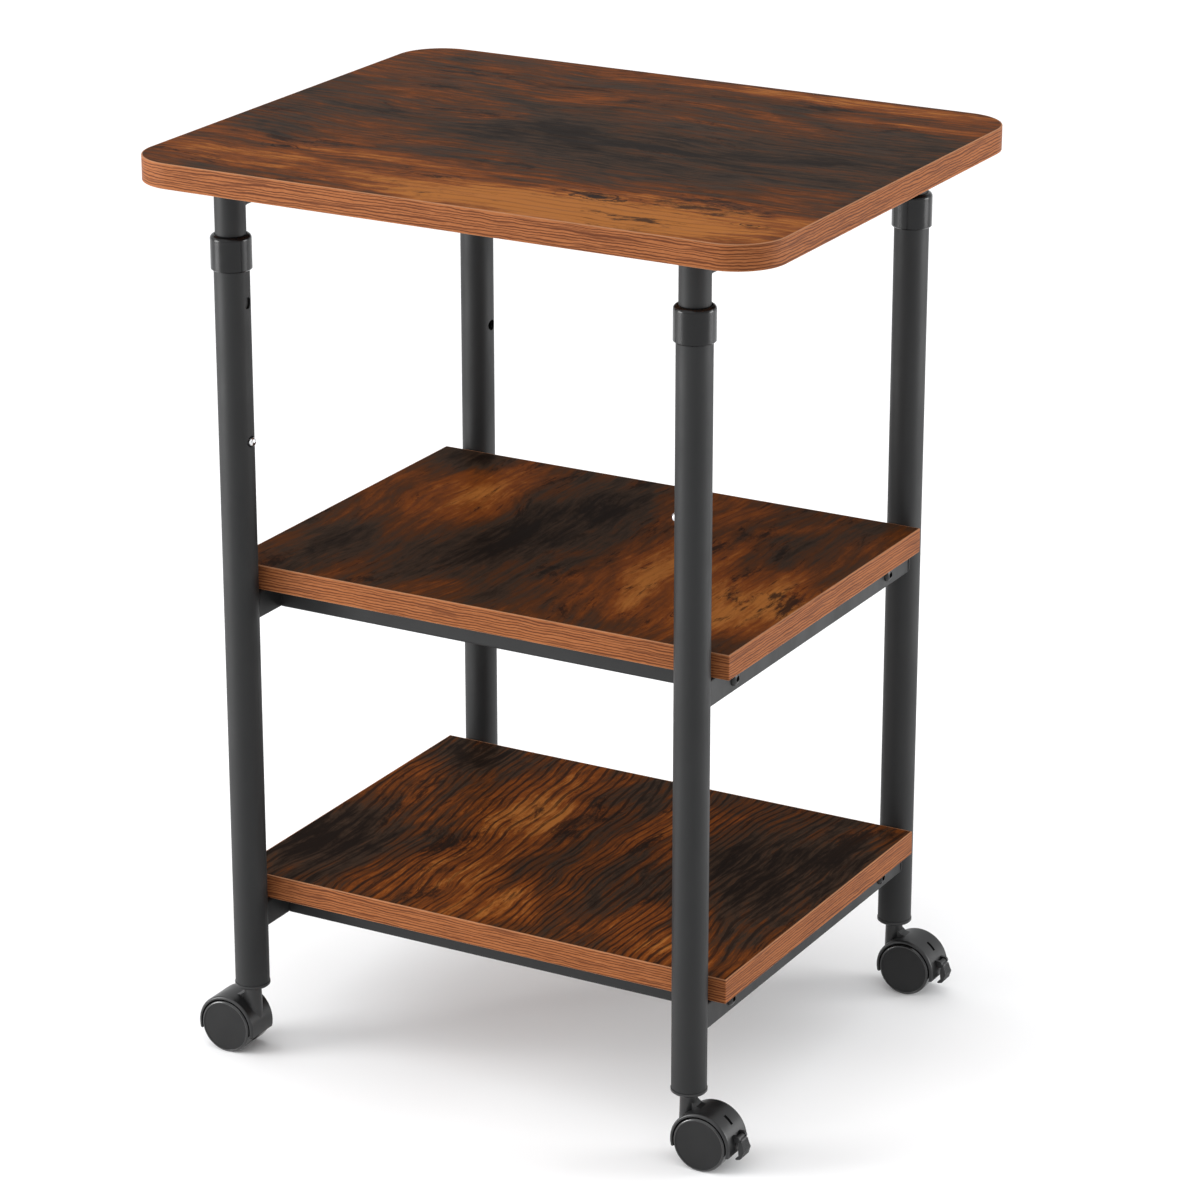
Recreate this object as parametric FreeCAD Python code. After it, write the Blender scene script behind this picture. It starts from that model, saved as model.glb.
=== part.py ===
import FreeCAD, Part
import math
import os

# Mobile printer stand: a wooden top on four telescoping legs, two shelves and four casters.
# Millimetres, +Z up, +X to the right, the front faces -Y. The origin is on the floor, under
# the centre of the top. It is drawn at its lowest setting.

# Overall sizes
HEIGHT = 670.0
TOP_WIDTH = 490.0
TOP_DEPTH = 400.0
TOP_CORNER_R = 36.0
SHELF_WIDTH = 400.0
SHELF_DEPTH = 300.0
BOARD_T = 18.0
BAND_T = 1.0
BAND_ROUND = 0.7
TOP_GAP = 280.0
SHELF_GAP = 220.0
LIFT = 100.0

# Board heights that follow from them
TOP_UNDERSIDE = HEIGHT - BOARD_T
MIDDLE_SURFACE = TOP_UNDERSIDE - TOP_GAP
MIDDLE_UNDERSIDE = MIDDLE_SURFACE - BOARD_T
BOTTOM_SURFACE = MIDDLE_UNDERSIDE - SHELF_GAP
BOTTOM_UNDERSIDE = BOTTOM_SURFACE - BOARD_T

# Legs: a fixed outer tube, an inner tube that slides in it, and a collar on the mouth
LEG_X = 180.0
LEG_Y = 165.0
OUTER_R = 12.5
INNER_R = 10.9
TUBE_WALL = 1.2
TUBE_BOTTOM = 55.0
TUBE_TOP = HEIGHT - 58.0
INNER_BOTTOM = TUBE_TOP - 188.0
COLLAR_R = 14.4
COLLAR_BOTTOM = TUBE_TOP - 20.0
COLLAR_TOP = TUBE_TOP + 5.0
COLLAR_ROUND = 3.0
COLLAR_CHAMFER = 0.8
SLIDE_GAP = 0.4
SNUG_GAP = 0.03

# Spring buttons that lock the height. They are in the front legs only, but all four legs are
# drilled alike.
BUTTON_Z = HEIGHT - 201.0
BUTTON_R = 3.3
BUTTON_TIP = 15.4
BUTTON_NECK = 13.2
FLANGE_R = 4.6
FLANGE_BACK = 7.6
FLANGE_FRONT = 8.4
INNER_HOLE_R = 3.7
OUTER_HOLE_R = 4.1
SPRING_T = 0.8
SPRING_WIDTH = 7.0
SPRING_BACK = 8.9
SPRING_DROP = 15.0

# Steel rails, all of thin-walled box tube
RAIL_WALL = 1.2
RAIL_ROUND = 1.8
SIDE_RAIL_W = 17.0
SIDE_RAIL_H = 20.0
TOP_RAIL_H = 16.0
CROSS_RAIL_W = 14.0
CROSS_RAIL_Y = 120.0
END_BLOCK = 8.0

# Button-head bolts that hold the cross rails, and the wood screws
BOLT_R = 3.0
BOLT_LENGTH = 28.0
BOLT_HEAD_R = 5.4
BOLT_HEAD_H = 3.2
BOLT_HOLE_R = 3.3
HEX_ACROSS_FLATS = 4.0
HEX_DEPTH = 2.0
SCREW_R = 2.0
SCREW_HOLE_R = 2.3
SCREW_BITE = 12.0
ACCESS_HOLE_R = 5.0
SCREW_HEAD_R = 4.2
SCREW_HEAD_H = 2.2
SHELF_SCREW_X = 110.0
TOP_SCREW_YS = (-125.0, 0.0, 125.0)

# Casters: twin wheels on one axle, under a hood that turns about the leg's axis
WHEEL_R = 20.0
WHEEL_ROUND = 2.4
WHEEL_IN = 3.8
WHEEL_OUT = 15.0
FACE_R = 16.6
FACE_INSET = 0.5
AXLE_R = 3.0
AXLE_HALF = 12.0
TRAIL = 15.5
WEB_HALF = 3.0
HOOD_R = 23.2
HOOD_BORE = 21.0
HOOD_HALF = 14.2
HOOD_ROUND = 1.6
HOOD_CUT = 14.5
NECK_R = 6.3
NECK_FLARE = 0.6
NECK_TOP = 50.0
NECK_FOOT = 24.0
PIN_R = 4.0
PIN_FOOT = 40.2
SHOULDER_R = 5.5
STEM_TOP = 82.0
SOCKET_R = 12.9
SOCKET_FLANGE = 2.5
SOCKET_RIM = 0.8
SOCKET_TOP = 85.0
FIT = 0.05
GUSSET = [(0, 34), (0, 47), (4, 46.5), (8, 43.5), (13, 42.5), (13, 34)]
GUSSET_HALF = 4.5

# Brake lever on the two right-hand casters, given in the caster's own x and z. PAD is the
# outline of its pad and shoe about the pivot.
PIVOT_X = 40.2
PIVOT_Z = 26.2
BARREL_R = 1.9
BARREL_HALF = 3.4
STUB_R = 1.2
LUG_IN = 3.7
LUG_OUT = 5.7
LUG_R = 2.6
LUG_ROOM = 0.5
LUG_ROOT = 8.0
PAD_HALF = 5.5
PAD = [
    (1.0, 0.8),
    (3.0, -0.4),
    (5.8, -7.6),
    (4.0, -13.2),
    (2.6, -14.8),
    (-0.6, -15.6),
    (-1.2, -14.6),
    (1.4, -12.6),
    (1.0, -6.5),
]
SLOT_LENGTH = 8.0
SLOT_WIDTH = 2.6
SLOT_ANGLE = 48.0

CORNERS = {
    "front_left": (-1, -1),
    "front_right": (1, -1),
    "back_left": (-1, 1),
    "back_right": (1, 1),
}
SIDES = {"left": -1, "right": 1}
ENDS = {"front": -1, "back": 1}
BRAKED = ("front_right", "back_right")
BUTTONED = ("front_left", "front_right")

X_AXIS = FreeCAD.Vector(1, 0, 0)
Y_AXIS = FreeCAD.Vector(0, 1, 0)
Z_AXIS = FreeCAD.Vector(0, 0, 1)
ORIGIN = FreeCAD.Vector(0, 0, 0)


# ---- basic shapes ----

def block(x0, x1, y0, y1, z0, z1):
    """A box between two corners."""
    return Part.makeBox(x1 - x0, y1 - y0, z1 - z0, FreeCAD.Vector(x0, y0, z0))


def rod(radius, start, end):
    """A round bar from one point to another."""
    along = end - start
    return Part.makeCylinder(radius, along.Length, start, along)


def upright(radius, x, y, z0, z1):
    """A round bar that stands along Z."""
    return rod(radius, FreeCAD.Vector(x, y, z0), FreeCAD.Vector(x, y, z1))


def crosswise(radius, x, z, y0, y1):
    """A round bar that lies along Y."""
    return rod(radius, FreeCAD.Vector(x, y0, z), FreeCAD.Vector(x, y1, z))


def turned(outline, axis=Z_AXIS):
    """A solid of revolution about an axis through the origin, from a closed outline."""
    points = [FreeCAD.Vector(*p) for p in outline]
    face = Part.Face(Part.makePolygon(points + points[:1]))
    return face.revolve(ORIGIN, axis, 360)


def rounded(shape, radius, wanted):
    """A shape with its chosen edges rounded; wanted takes an edge's direction at its start."""
    edges = [e for e in shape.Edges if wanted(e.tangentAt(e.FirstParameter))]
    return shape.makeFillet(radius, edges)


def prism(outline, y0, y1):
    """A solid with one (x, z) outline all along Y."""
    points = [FreeCAD.Vector(x, y0, z) for x, z in outline]
    face = Part.Face(Part.makePolygon(points + points[:1]))
    return face.extrude(FreeCAD.Vector(0, y1 - y0, 0))


def dome(radius, height, steps=6):
    """Points (radius, height) of a quarter ellipse, from its rim to its top."""
    turns = [math.pi / 2 * i / steps for i in range(steps + 1)]
    return [(radius * math.cos(a), height * math.sin(a)) for a in turns]


def moved(shape, x, y, z):
    """A copy of a shape, shifted."""
    copy = shape.copy()
    copy.translate(FreeCAD.Vector(x, y, z))
    return copy


def save(name, *solids):
    """Write one node: a solid, or a group of separate solids."""
    shape = solids[0] if len(solids) == 1 else Part.makeCompound(list(solids))
    shape.exportStep(os.path.join("parts", name + ".step"))


# ---- legs ----

def outer_tube(side, end):
    """A leg's fixed tube, with the two button holes in its inward wall."""
    x = side * LEG_X
    y = end * LEG_Y
    tube = upright(OUTER_R, x, y, TUBE_BOTTOM, TUBE_TOP)
    tube = tube.cut(upright(OUTER_R - TUBE_WALL, x, y, TUBE_BOTTOM - 1, TUBE_TOP + 1))
    for z in (BUTTON_Z, BUTTON_Z + LIFT):
        tube = tube.cut(button_hole(side, end, OUTER_HOLE_R, z))
    return tube


def inner_tube(side, end):
    """The tube that slides, welded to the top's rail."""
    x = side * LEG_X
    y = end * LEG_Y
    tube = upright(INNER_R, x, y, INNER_BOTTOM, TOP_UNDERSIDE)
    tube = tube.cut(upright(INNER_R - TUBE_WALL, x, y, INNER_BOTTOM - 1, TOP_UNDERSIDE + 1))
    return tube.cut(button_hole(side, end, INNER_HOLE_R, BUTTON_Z))


def button_hole(side, end, radius, z):
    """The bar that drills a button hole, from the leg's axis towards the middle of the stand."""
    start = FreeCAD.Vector(side * LEG_X, end * LEG_Y, z)
    return rod(radius, start, start + FreeCAD.Vector(-side * 2 * OUTER_R, 0, 0))


def collar(side, end):
    """A moulded sleeve over the outer tube's mouth, with a rounded lip round the inner tube."""
    bore = OUTER_R + SNUG_GAP
    lip = INNER_R + SLIDE_GAP
    crown = [
        (COLLAR_R - COLLAR_ROUND + r, 0, COLLAR_TOP - COLLAR_ROUND + h)
        for r, h in dome(COLLAR_ROUND, COLLAR_ROUND)
    ]
    outline = [(bore, 0, COLLAR_BOTTOM), (COLLAR_R - COLLAR_CHAMFER, 0, COLLAR_BOTTOM)]
    outline += [(COLLAR_R, 0, COLLAR_BOTTOM + COLLAR_CHAMFER)] + crown
    outline += [(lip, 0, COLLAR_TOP - COLLAR_CHAMFER), (lip, 0, TUBE_TOP), (bore, 0, TUBE_TOP)]
    return moved(turned(outline), side * LEG_X, end * LEG_Y, 0)


def caster_socket(side, end):
    """The plug in the tube's foot that takes the caster's stem, with a flange below the tube."""
    flange_foot = TUBE_BOTTOM - SOCKET_FLANGE
    plug_r = OUTER_R - TUBE_WALL - SNUG_GAP
    outline = [
        (PIN_R, 0, flange_foot),
        (SOCKET_R - SOCKET_RIM, 0, flange_foot),
        (SOCKET_R, 0, flange_foot + SOCKET_RIM),
        (SOCKET_R, 0, TUBE_BOTTOM),
        (plug_r, 0, TUBE_BOTTOM),
        (plug_r, 0, SOCKET_TOP),
        (PIN_R, 0, SOCKET_TOP),
    ]
    return moved(turned(outline), side * LEG_X, end * LEG_Y, 0)


# ---- height locks ----

def snap_button(side, end):
    """A domed steel button, with a flange that keeps it inside the inner tube."""
    tip = [(BUTTON_NECK + h, 0, r) for r, h in dome(BUTTON_R, BUTTON_TIP - BUTTON_NECK)]
    outline = [(FLANGE_BACK, 0, 0), (FLANGE_BACK, 0, FLANGE_R), (FLANGE_FRONT, 0, FLANGE_R)]
    outline += [(FLANGE_FRONT, 0, BUTTON_R)] + tip
    return placed_inward(turned(outline, X_AXIS), side, end)


def button_spring(side, end):
    """A strip of spring steel bent into a U, which pushes the button out."""
    front = FLANGE_BACK
    bend_r = (front + SPRING_BACK) / 2
    middle = (front - SPRING_BACK) / 2
    half = SPRING_WIDTH / 2
    foot = -SPRING_DROP
    bend = crosswise(bend_r, middle, foot, -half, half)
    bend = bend.cut(crosswise(bend_r - SPRING_T, middle, foot, -half - 1, half + 1))
    bend = bend.cut(block(-OUTER_R, OUTER_R, -half - 1, half + 1, foot, foot + OUTER_R))
    strip = bend.fuse(block(front - SPRING_T, front, -half, half, foot, FLANGE_R))
    strip = strip.fuse(block(-SPRING_BACK, SPRING_T - SPRING_BACK, -half, half, foot, FLANGE_R))
    return placed_inward(strip.removeSplitter(), side, end)


def placed_inward(shape, side, end):
    """Put a shape drawn facing +X about the origin into a leg, facing the stand's middle."""
    copy = shape.copy()
    if side > 0:
        copy.rotate(ORIGIN, Z_AXIS, 180)
    copy.translate(FreeCAD.Vector(side * LEG_X, end * LEG_Y, BUTTON_Z))
    return copy


# ---- rails and their fasteners ----

def side_rail(side, top, height, leg_r):
    """A box tube along Y between two legs, with its ends cut to the legs' round."""
    x = side * LEG_X
    half = SIDE_RAIL_W / 2
    rail = block(x - half, x + half, -LEG_Y, LEG_Y, top - height, top)
    rail = rounded(rail, RAIL_ROUND, lambda way: abs(way.y) > 0.5)
    hollow = half - RAIL_WALL
    rail = rail.cut(
        block(x - hollow, x + hollow, -LEG_Y, LEG_Y, top - height + RAIL_WALL, top - RAIL_WALL)
    )
    for end in ENDS.values():
        rail = rail.cut(upright(leg_r, x, end * LEG_Y, top - height - 1, top + 1))
    return rail


def shelf_side_rail(side, top):
    """A side rail under a shelf, drilled across for the bolts."""
    rail = side_rail(side, top, SIDE_RAIL_H, OUTER_R)
    for end in ENDS.values():
        at = FreeCAD.Vector(side * (LEG_X - SIDE_RAIL_W), end * CROSS_RAIL_Y, top - SIDE_RAIL_H / 2)
        reach = FreeCAD.Vector(side * 2 * SIDE_RAIL_W, 0, 0)
        rail = rail.cut(rod(BOLT_HOLE_R, at, at + reach))
    return rail


def top_side_rail(side):
    """A side rail under the top, drilled upwards for the screws."""
    rail = side_rail(side, TOP_UNDERSIDE, TOP_RAIL_H, INNER_R)
    for y in TOP_SCREW_YS:
        rail = rail.cut(screw_way(side * LEG_X, y, TOP_UNDERSIDE, TOP_RAIL_H))
    return rail


def screw_way(x, y, top, height):
    """The bars that drill a rail: a wide access hole below and a screw hole in its top wall."""
    access = upright(ACCESS_HOLE_R, x, y, top - height - 1, top - 2 * RAIL_WALL)
    return access.fuse(upright(SCREW_HOLE_R, x, y, top - height, top + 1))


def cross_rail(end, top):
    """A box tube along X between the side rails, with a tapped block in each end."""
    reach = LEG_X - SIDE_RAIL_W / 2
    y = end * CROSS_RAIL_Y
    half = CROSS_RAIL_W / 2
    foot = top - SIDE_RAIL_H
    hollow = half - RAIL_WALL
    rail = block(-reach, reach, y - half, y + half, foot, top)
    rail = rounded(rail, RAIL_ROUND, lambda way: abs(way.x) > 0.5)
    rail = rail.cut(
        block(
            END_BLOCK - reach, reach - END_BLOCK,
            y - hollow, y + hollow,
            foot + RAIL_WALL, top - RAIL_WALL,
        )
    )
    for side in SIDES.values():
        at = FreeCAD.Vector(side * (reach + 1), y, (foot + top) / 2)
        rail = rail.cut(rod(BOLT_R, at, at - FreeCAD.Vector(side * 2 * END_BLOCK, 0, 0)))
        rail = rail.cut(screw_way(side * SHELF_SCREW_X, y, top, SIDE_RAIL_H))
    return rail


def rail_bolt(side, end, top):
    """A button-head bolt with a hexagon socket, from the outside of a side rail."""
    head = [(r, 0, h) for r, h in dome(BOLT_HEAD_R, BOLT_HEAD_H)]
    bolt = turned([(0, 0, 0)] + head)
    shank_r = BOLT_R - SNUG_GAP
    bolt = bolt.fuse(upright(shank_r, 0, 0, -BOLT_LENGTH, BOLT_HEAD_H / 4))
    corner_r = HEX_ACROSS_FLATS / math.sqrt(3)
    corners = [
        FreeCAD.Vector(corner_r * math.cos(a), corner_r * math.sin(a), BOLT_HEAD_H - HEX_DEPTH)
        for a in (math.pi / 3 * i for i in range(6))
    ]
    socket = Part.Face(Part.makePolygon(corners + corners[:1]))
    bolt = bolt.cut(socket.extrude(FreeCAD.Vector(0, 0, 2 * HEX_DEPTH)))
    bolt.rotate(ORIGIN, Y_AXIS, side * 90)
    face_x = side * (LEG_X + SIDE_RAIL_W / 2)
    return moved(bolt, face_x, end * CROSS_RAIL_Y, top - SIDE_RAIL_H / 2)


def wood_screw(x, y, underside):
    """A pan-head screw, with its head inside a rail, that goes up into the board on it."""
    head = [(r, 0, -h) for r, h in dome(SCREW_HEAD_R, SCREW_HEAD_H)]
    screw = turned([(0, 0, 0)] + head)
    shank_r = SCREW_R - SNUG_GAP
    root = -SCREW_HEAD_H / 4
    screw = screw.fuse(upright(shank_r, 0, 0, root, root + RAIL_WALL + SCREW_BITE))
    return moved(screw, x, y, underside - RAIL_WALL)


# ---- boards ----

def rounded_slab(width, depth, corner_r, z0, z1):
    """A board centred on the origin, with rounded upright corners."""
    slab = block(-width / 2, width / 2, -depth / 2, depth / 2, z0, z1)
    if corner_r <= 0:
        return slab
    return rounded(slab, corner_r, lambda way: abs(way.z) > 0.5)


def board_core(width, depth, corner_r, surface, screws):
    """The wood inside the edge band, with the screws' pilot holes in its underside."""
    underside = surface - BOARD_T
    core = rounded_slab(
        width - 2 * BAND_T, depth - 2 * BAND_T, corner_r - BAND_T, underside, surface
    )
    for x, y in screws:
        core = core.cut(upright(SCREW_R, x, y, underside - 1, underside + SCREW_BITE))
    return core


def edge_band(width, depth, corner_r, surface):
    """The strip round a board's edge, with its outer edges eased."""
    underside = surface - BOARD_T
    core_r = corner_r - BAND_T
    band = rounded_slab(width, depth, max(corner_r, BAND_ROUND), underside, surface)
    band = rounded(band, BAND_ROUND, lambda way: abs(way.z) < 0.5)
    return band.cut(
        rounded_slab(
            width - 2 * BAND_T, depth - 2 * BAND_T, core_r, underside - 1, surface + 1
        )
    )


# ---- casters, drawn about the swivel axis with the wheels trailing towards +X ----

def caster_stem():
    """A steel stem: a shank in the socket, a shoulder and the pin that the caster turns on."""
    foot = TUBE_BOTTOM - SOCKET_FLANGE
    shank_r = PIN_R - SNUG_GAP
    shoulder_foot = NECK_TOP + 4 * FIT
    outline = [
        (0, 0, PIN_FOOT),
        (PIN_R, 0, PIN_FOOT),
        (PIN_R, 0, shoulder_foot),
        (SHOULDER_R, 0, shoulder_foot),
        (SHOULDER_R, 0, foot),
        (shank_r, 0, foot),
        (shank_r, 0, STEM_TOP - 1),
        (shank_r - 1, 0, STEM_TOP),
        (0, 0, STEM_TOP),
    ]
    return turned(outline)


def caster_hood(braked):
    """The hood: a shell over both wheels, the web between them and the neck they swivel on."""
    shell = crosswise(HOOD_R, TRAIL, WHEEL_R, -HOOD_HALF, HOOD_HALF)
    shell = rounded(shell, HOOD_ROUND, lambda way: abs(way.y) < 0.5)
    neck_foot = FreeCAD.Vector(0, 0, NECK_FOOT)
    neck = Part.makeCone(NECK_R + NECK_FLARE, NECK_R, NECK_TOP - NECK_FOOT, neck_foot)
    gusset = prism(GUSSET, -GUSSET_HALF, GUSSET_HALF)
    hood = shell.fuse(neck).fuse(gusset)
    if braked:
        hood = hood.fuse(brake_lugs())
    wheel_room = [
        crosswise(HOOD_BORE, TRAIL, WHEEL_R, WEB_HALF, 2 * HOOD_R),
        crosswise(HOOD_BORE, TRAIL, WHEEL_R, -2 * HOOD_R, -WEB_HALF),
    ]
    for room in wheel_room:
        hood = hood.cut(room)
    hood = hood.cut(block(-HOOD_R, 2 * HOOD_R, -HOOD_R, HOOD_R, -HOOD_R, HOOD_CUT))
    hood = hood.cut(crosswise(AXLE_R, TRAIL, WHEEL_R, -HOOD_R, HOOD_R))
    hood = hood.cut(upright(PIN_R + FIT, 0, 0, PIN_FOOT - 4 * FIT, NECK_TOP + 1))
    if braked:
        hood = hood.cut(crown_slot())
    return hood.removeSplitter()


def brake_lugs():
    """Two ears on the trailing side of the hood that hold the brake lever's pivots."""
    ears = []
    for y0, y1 in ((LUG_IN, LUG_OUT), (-LUG_OUT, -LUG_IN)):
        ear = crosswise(LUG_R, PIVOT_X, PIVOT_Z, y0, y1)
        root = block(PIVOT_X - LUG_ROOT, PIVOT_X, y0, y1, PIVOT_Z - LUG_R, PIVOT_Z + LUG_R)
        ear = ear.fuse(root).cut(crosswise(STUB_R + FIT, PIVOT_X, PIVOT_Z, y0 - 1, y1 + 1))
        ears.append(ear)
    return ears[0].fuse(ears[1])


def crown_slot():
    """A short slot through the crown, along the hood's curve."""
    half = SLOT_WIDTH / 2
    slot = block(-SLOT_LENGTH / 2, SLOT_LENGTH / 2, -half, half, HOOD_BORE - 2, HOOD_R + 2)
    slot.rotate(ORIGIN, Y_AXIS, 90 - SLOT_ANGLE)
    return moved(slot, TRAIL, 0, WHEEL_R)


def caster_axle():
    """The steel axle, pressed into the web."""
    return crosswise(AXLE_R, TRAIL, WHEEL_R, -AXLE_HALF, AXLE_HALF)


def caster_wheel(hand):
    """One wheel: a rounded rim and an inset face outwards, and a blind bore inwards."""
    corner = [
        (WHEEL_R - WHEEL_ROUND + r, WHEEL_OUT - WHEEL_ROUND + h, 0)
        for r, h in dome(WHEEL_ROUND, WHEEL_ROUND)
    ]
    bore_r = AXLE_R + FIT
    outline = [
        (bore_r, WHEEL_IN, 0),
        (WHEEL_R - 1, WHEEL_IN, 0),
        (WHEEL_R, WHEEL_IN + 1, 0),
        *corner,
        (FACE_R, WHEEL_OUT, 0),
        (FACE_R - FACE_INSET, WHEEL_OUT - FACE_INSET, 0),
        (0, WHEEL_OUT - FACE_INSET, 0),
        (0, AXLE_HALF + 4 * FIT, 0),
        (bore_r, AXLE_HALF + 4 * FIT, 0),
    ]
    wheel = turned([(r, hand * y, 0) for r, y, _ in outline], Y_AXIS)
    return moved(wheel, TRAIL, 0, WHEEL_R)


def brake_lever():
    """A foot lever: a barrel between the ears, a sloping pad and a shoe that swings to the wheels."""
    pad = [(PIVOT_X + x, PIVOT_Z + z) for x, z in PAD]
    lever = prism(pad, -PAD_HALF, PAD_HALF)
    ear_room = LUG_R + LUG_ROOM
    for y0, y1 in ((BARREL_HALF, 2 * PAD_HALF), (-2 * PAD_HALF, -BARREL_HALF)):
        lever = lever.cut(crosswise(ear_room, PIVOT_X, PIVOT_Z, y0, y1))
    lever = lever.fuse(crosswise(BARREL_R, PIVOT_X, PIVOT_Z, -BARREL_HALF, BARREL_HALF))
    lever = lever.fuse(crosswise(STUB_R, PIVOT_X, PIVOT_Z, -LUG_OUT, LUG_OUT))
    return lever.removeSplitter()


def placed_caster(shape, side, end):
    """Put a caster piece on its leg's axis. The wheels trail outwards, to the left or right."""
    copy = shape.copy()
    if side < 0:
        copy.rotate(ORIGIN, Z_AXIS, 180)
    copy.translate(FreeCAD.Vector(side * LEG_X, end * LEG_Y, 0))
    return copy


# ---- the whole stand ----

def save_legs():
    for name, (side, end) in CORNERS.items():
        save("leg_tube_" + name, outer_tube(side, end))
        save("inner_tube_" + name, inner_tube(side, end))
        save("collar_" + name, collar(side, end))
        save("caster_socket_" + name, caster_socket(side, end))
    for name in BUTTONED:
        save("snap_button_" + name, snap_button(*CORNERS[name]))
    save("button_springs", *[button_spring(*CORNERS[name]) for name in BUTTONED])


def save_rails():
    for level, top in (("middle", MIDDLE_UNDERSIDE), ("bottom", BOTTOM_UNDERSIDE)):
        for name, side in SIDES.items():
            save(f"{level}_side_rail_{name}", shelf_side_rail(side, top))
        for name, end in ENDS.items():
            save(f"{level}_cross_rail_{name}", cross_rail(end, top))
    for name, side in SIDES.items():
        save("top_rail_" + name, top_side_rail(side))
    levels = (MIDDLE_UNDERSIDE, BOTTOM_UNDERSIDE)
    save("rail_bolts", *[rail_bolt(*c, top) for top in levels for c in CORNERS.values()])


def save_boards():
    shelf_screws = [(s * SHELF_SCREW_X, e * CROSS_RAIL_Y) for s, e in CORNERS.values()]
    top_screws = [(side * LEG_X, y) for side in SIDES.values() for y in TOP_SCREW_YS]
    boards = (
        ("top", TOP_WIDTH, TOP_DEPTH, TOP_CORNER_R, HEIGHT, top_screws),
        ("middle_shelf", SHELF_WIDTH, SHELF_DEPTH, 0, MIDDLE_SURFACE, shelf_screws),
        ("bottom_shelf", SHELF_WIDTH, SHELF_DEPTH, 0, BOTTOM_SURFACE, shelf_screws),
    )
    for name, width, depth, corner_r, surface, screws in boards:
        save(name + "_board", board_core(width, depth, corner_r, surface, screws))
        save(name + "_edge_band", edge_band(width, depth, corner_r, surface))
    undersides = (MIDDLE_UNDERSIDE, BOTTOM_UNDERSIDE)
    save("shelf_screws", *[wood_screw(x, y, z) for z in undersides for x, y in shelf_screws])
    save("top_screws", *[wood_screw(x, y, TOP_UNDERSIDE) for x, y in top_screws])


def save_casters():
    stem = caster_stem()
    save("caster_stems", *[placed_caster(stem, *corner) for corner in CORNERS.values()])
    for name, corner in CORNERS.items():
        braked = name in BRAKED
        save("caster_hood_" + name, placed_caster(caster_hood(braked), *corner))
        save("caster_axle_" + name, placed_caster(caster_axle(), *corner))
        for place, hand in ENDS.items():
            wheel = caster_wheel(hand * corner[0])
            save(f"caster_wheel_{name}_{place}", placed_caster(wheel, *corner))
        if braked:
            save("brake_lever_" + name, placed_caster(brake_lever(), *corner))


os.makedirs("parts", exist_ok=True)
save_legs()
save_rails()
save_boards()
save_casters()
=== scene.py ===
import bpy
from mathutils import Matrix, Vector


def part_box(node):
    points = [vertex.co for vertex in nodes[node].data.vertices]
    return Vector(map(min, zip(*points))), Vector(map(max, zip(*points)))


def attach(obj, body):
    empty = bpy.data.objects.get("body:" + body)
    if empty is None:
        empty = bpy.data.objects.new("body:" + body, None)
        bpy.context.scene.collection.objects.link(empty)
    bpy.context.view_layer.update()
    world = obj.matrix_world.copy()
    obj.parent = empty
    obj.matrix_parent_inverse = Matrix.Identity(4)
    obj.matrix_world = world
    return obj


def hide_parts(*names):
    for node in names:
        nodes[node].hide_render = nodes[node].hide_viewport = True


bl_info = {
    "name": "Mobile Printer Stand",
    "version": (1, 0, 0),
    "blender": (4, 5, 0),
    "location": "View3D > Sidebar > Stand",
    "description": "Finishes and fine pieces for a rolling printer stand built around its CAD frame",
    "category": "Add Mesh",
}

import math

import bmesh
import bpy
from bpy.props import FloatProperty, FloatVectorProperty, IntProperty, PointerProperty
from bpy.types import Operator, Panel, PropertyGroup
from mathutils import Vector, noise

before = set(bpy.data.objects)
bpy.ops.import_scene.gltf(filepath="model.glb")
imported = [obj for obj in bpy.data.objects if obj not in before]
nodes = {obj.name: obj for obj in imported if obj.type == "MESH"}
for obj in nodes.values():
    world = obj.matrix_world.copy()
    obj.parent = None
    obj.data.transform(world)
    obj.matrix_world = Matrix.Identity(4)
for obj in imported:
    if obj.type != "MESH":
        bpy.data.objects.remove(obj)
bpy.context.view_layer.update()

CORNERS = {
    "front_left": (-1, -1),
    "front_right": (1, -1),
    "back_left": (-1, 1),
    "back_right": (1, 1),
}
BRAKED = ("front_right", "back_right")
MM = 0.001
# From the middle of the stand to each leg, along X and along Y, in millimetres
LEG = (180.0, 165.0)


# ---- settings ----


def length(name, text, default):
    """A size in metres, as the sidebar shows it."""
    return FloatProperty(
        name=name, description=text, default=default, min=0.0, unit="LENGTH", precision=4
    )


def colour(name, text, default):
    """A linear colour, as the sidebar shows it."""
    return FloatVectorProperty(
        name=name, description=text, default=default, subtype="COLOR", size=3, min=0.0, max=1.0
    )


class StandSizes(PropertyGroup):
    """Sizes of the fine pieces"""

    wheel_round: length("Wheel rim round", "Radius of the wheel's outer rim", 0.0015)
    wheel_face: length("Wheel face radius", "Radius of the wheel's matt face", 0.0182)
    wheel_inset: length("Wheel face inset", "How far the face is sunk in the rim", 0.0004)
    wheel_steps: IntProperty(
        name="Wheel steps", description="Facets round a wheel", default=128, min=24
    )
    pad_half: length("Pad half width", "Half the width of the brake pad", 0.0055)
    pad_edge: length("Pad edge", "Rounding of the brake pad's edges", 0.0005)
    knurl_pitch: length("Knurl pitch", "Distance between the grooves of the brake pad", 0.0019)
    knurl_depth: length("Knurl depth", "Depth of the grooves of the brake pad", 0.00042)
    bead: length("Weld bead", "Radius of the weld beads at the rails' ends", 0.0010)


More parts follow.
